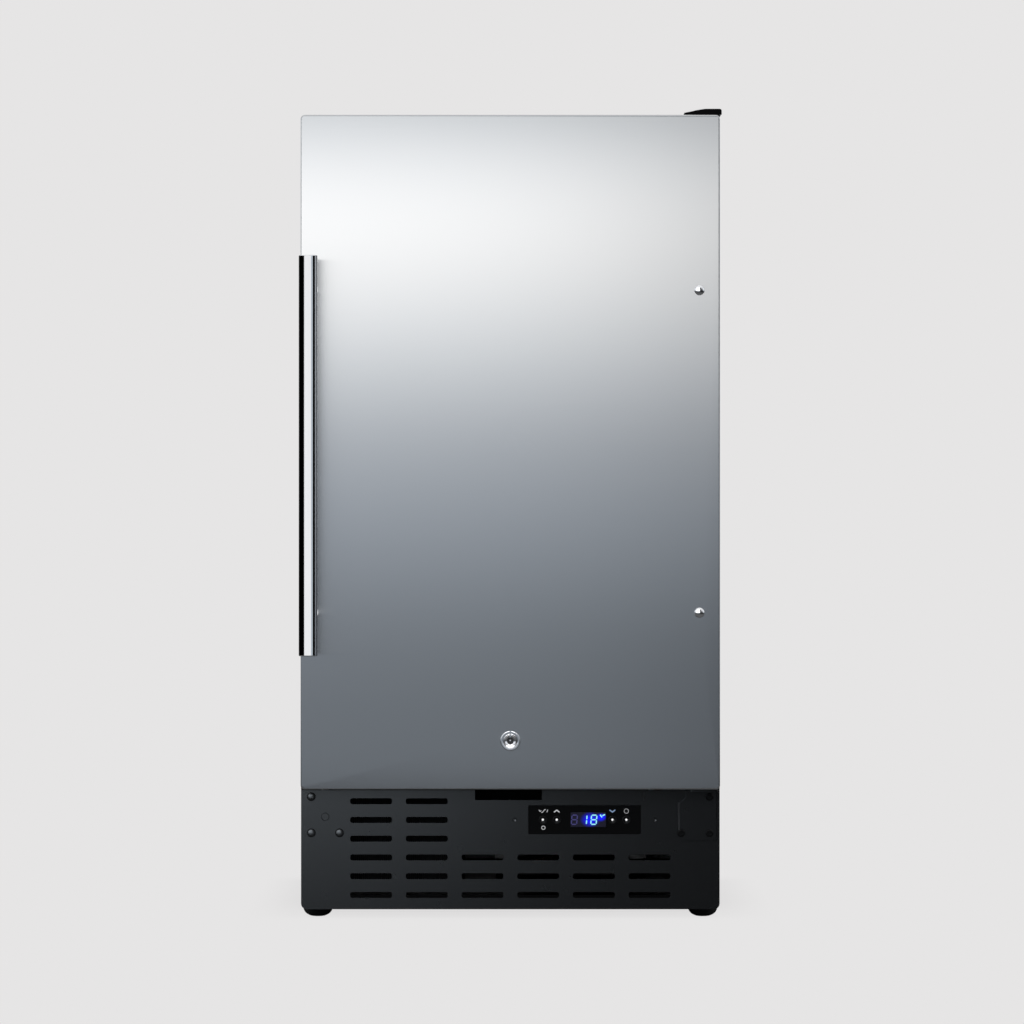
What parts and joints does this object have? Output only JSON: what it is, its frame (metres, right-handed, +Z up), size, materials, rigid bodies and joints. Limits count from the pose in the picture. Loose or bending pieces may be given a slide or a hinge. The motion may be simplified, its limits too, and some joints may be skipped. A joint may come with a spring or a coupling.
{
  "type": "undercounter refrigerator",
  "caption": "Narrow undercounter refrigerator with a right-hinged stainless door, vertical bar handle, key lock, glass shelves and a digital thermostat in its black vented kick plate.",
  "frame": {"origin": "on the floor, at the centre of the footprint's bounding box", "axes": "+Z up, the door and handle face -Y, +X to the right of someone facing the door"},
  "size_m": [0.451, 0.64, 0.87],
  "materials": {
    "brushed_stainless": "brushed stainless sheet, fine horizontal grain",
    "chrome": "polished",
    "black_enamel": "satin black powder coat",
    "zinc_steel": "galvanised sheet",
    "cap_black": "gloss black moulding",
    "black_plastic": "satin black moulding",
    "screw_black": "black oxide",
    "button_grey": "satin dark grey with a clear centre",
    "display_window": "smoked window over blue digits",
    "board_green": "solder mask",
    "foot_rubber": "matt black",
    "gasket_vinyl": "dark grey magnetic seal",
    "foam": "rigid polyurethane foam",
    "liner_white": "semi-gloss white moulding",
    "nylon": "natural nylon",
    "shelf_glass": "toughened, polished edges",
    "light_lens": "frosted diffuser",
    "coil_fins": "pressed fins on tube",
    "coil_black": "black-painted fins on tube",
    "copper": "bare copper pipe",
    "compressor_black": "gloss black enamel"
  },
  "bodies": {
    "cabinet": {"base_pan": "black_enamel", "fan_shroud": "black_enamel", "left_side_panel": "black_enamel", "right_side_panel": "black_enamel", "top_panel": "black_enamel", "front_frame": "black_enamel", "lock_recess": "black_enamel", "kick_plate": "black_enamel", "bottom_hinge": "black_enamel", "back_panel": "zinc_steel", "rear_cover": "zinc_steel", "top_hinge": "zinc_steel", "top_hinge_cap": "cap_black", "control_bezel": "black_plastic", "drain_pan": "black_plastic", "power_inlet": "black_plastic", "condenser_fan_motor": "black_plastic", "evaporator_fan_motor": "black_plastic", "corner_screw_1": "screw_black", "corner_screw_2": "screw_black", "corner_screw_3": "screw_black", "display_window": "display_window", "control_board": "board_green", "cabinet_foam": "foam", "inner_liner": "liner_white", "evaporator_cover": "liner_white", "shelf_glass_1": "shelf_glass", "shelf_glass_2": "shelf_glass", "shelf_glass_3": "shelf_glass", "light_lens": "light_lens", "evaporator_coil": "coil_fins", "condenser_coil": "coil_black", "discharge_line": "copper", "suction_line": "copper", "compressor": "compressor_black"},
    "door": {"door_skin": "brushed_stainless", "door_foam": "foam", "door_liner": "liner_white", "door_gasket": "gasket_vinyl", "hinge_bush_lower": "nylon", "hinge_bush_upper": "nylon", "handle_bar": "chrome", "handle_post_lower": "chrome", "handle_post_upper": "chrome", "handle_plug_lower": "chrome", "handle_plug_upper": "chrome", "lock_barrel": "chrome"},
    "lock_core": {"lock_plug": "chrome", "lock_cam": "zinc_steel"},
    "light_button": {"light_button": "button_grey"},
    "up_button": {"up_button": "button_grey"},
    "down_button": {"down_button": "button_grey"},
    "power_button": {"power_button": "button_grey"},
    "front_left_foot": {"front_left_foot": "foot_rubber"},
    "front_right_foot": {"front_right_foot": "foot_rubber"},
    "rear_left_foot": {"rear_left_foot": "foot_rubber"},
    "rear_right_foot": {"rear_right_foot": "foot_rubber"},
    "condenser_fan": {"condenser_fan_blade": "black_plastic"},
    "evaporator_fan": {"evaporator_fan_blade": "liner_white"}
  },
  "joints": [
    {"name": "door_hinge", "type": "hinge", "parent": "cabinet", "child": "door", "pos_m": [0.2085, -0.2455, 0.1415], "axis": [0, 0, 1], "range_deg": [0, 110]},
    {"name": "lock_turn", "type": "hinge", "parent": "door", "child": "lock_core", "pos_m": [0, -0.221, 0.1936], "axis": [0, 1, 0], "range_deg": [0, 90]},
    {"name": "light_button_press", "type": "slide", "parent": "cabinet", "child": "light_button", "axis": [0, 1, 0], "range_m": [0, 0.0008], "stiffness_N_per_m": 400},
    {"name": "up_button_press", "type": "slide", "parent": "cabinet", "child": "up_button", "axis": [0, 1, 0], "range_m": [0, 0.0008], "stiffness_N_per_m": 400},
    {"name": "down_button_press", "type": "slide", "parent": "cabinet", "child": "down_button", "axis": [0, 1, 0], "range_m": [0, 0.0008], "stiffness_N_per_m": 400},
    {"name": "power_button_press", "type": "slide", "parent": "cabinet", "child": "power_button", "axis": [0, 1, 0], "range_m": [0, 0.0008], "stiffness_N_per_m": 400},
    {"name": "front_left_foot_level", "type": "slide", "parent": "cabinet", "child": "front_left_foot", "axis": [0, 0, -1], "range_m": [0, 0.015]},
    {"name": "front_right_foot_level", "type": "slide", "parent": "cabinet", "child": "front_right_foot", "axis": [0, 0, -1], "range_m": [0, 0.015]},
    {"name": "rear_left_foot_level", "type": "slide", "parent": "cabinet", "child": "rear_left_foot", "axis": [0, 0, -1], "range_m": [0, 0.015]},
    {"name": "rear_right_foot_level", "type": "slide", "parent": "cabinet", "child": "rear_right_foot", "axis": [0, 0, -1], "range_m": [0, 0.015]},
    {"name": "condenser_fan_spin", "type": "hinge", "parent": "cabinet", "child": "condenser_fan", "pos_m": [-0.125, -0.112, 0.077], "axis": [0, 1, 0], "continuous": true},
    {"name": "evaporator_fan_spin", "type": "hinge", "parent": "cabinet", "child": "evaporator_fan", "pos_m": [0, 0.24, 0.722], "axis": [0, 1, 0], "continuous": true}
  ]
}
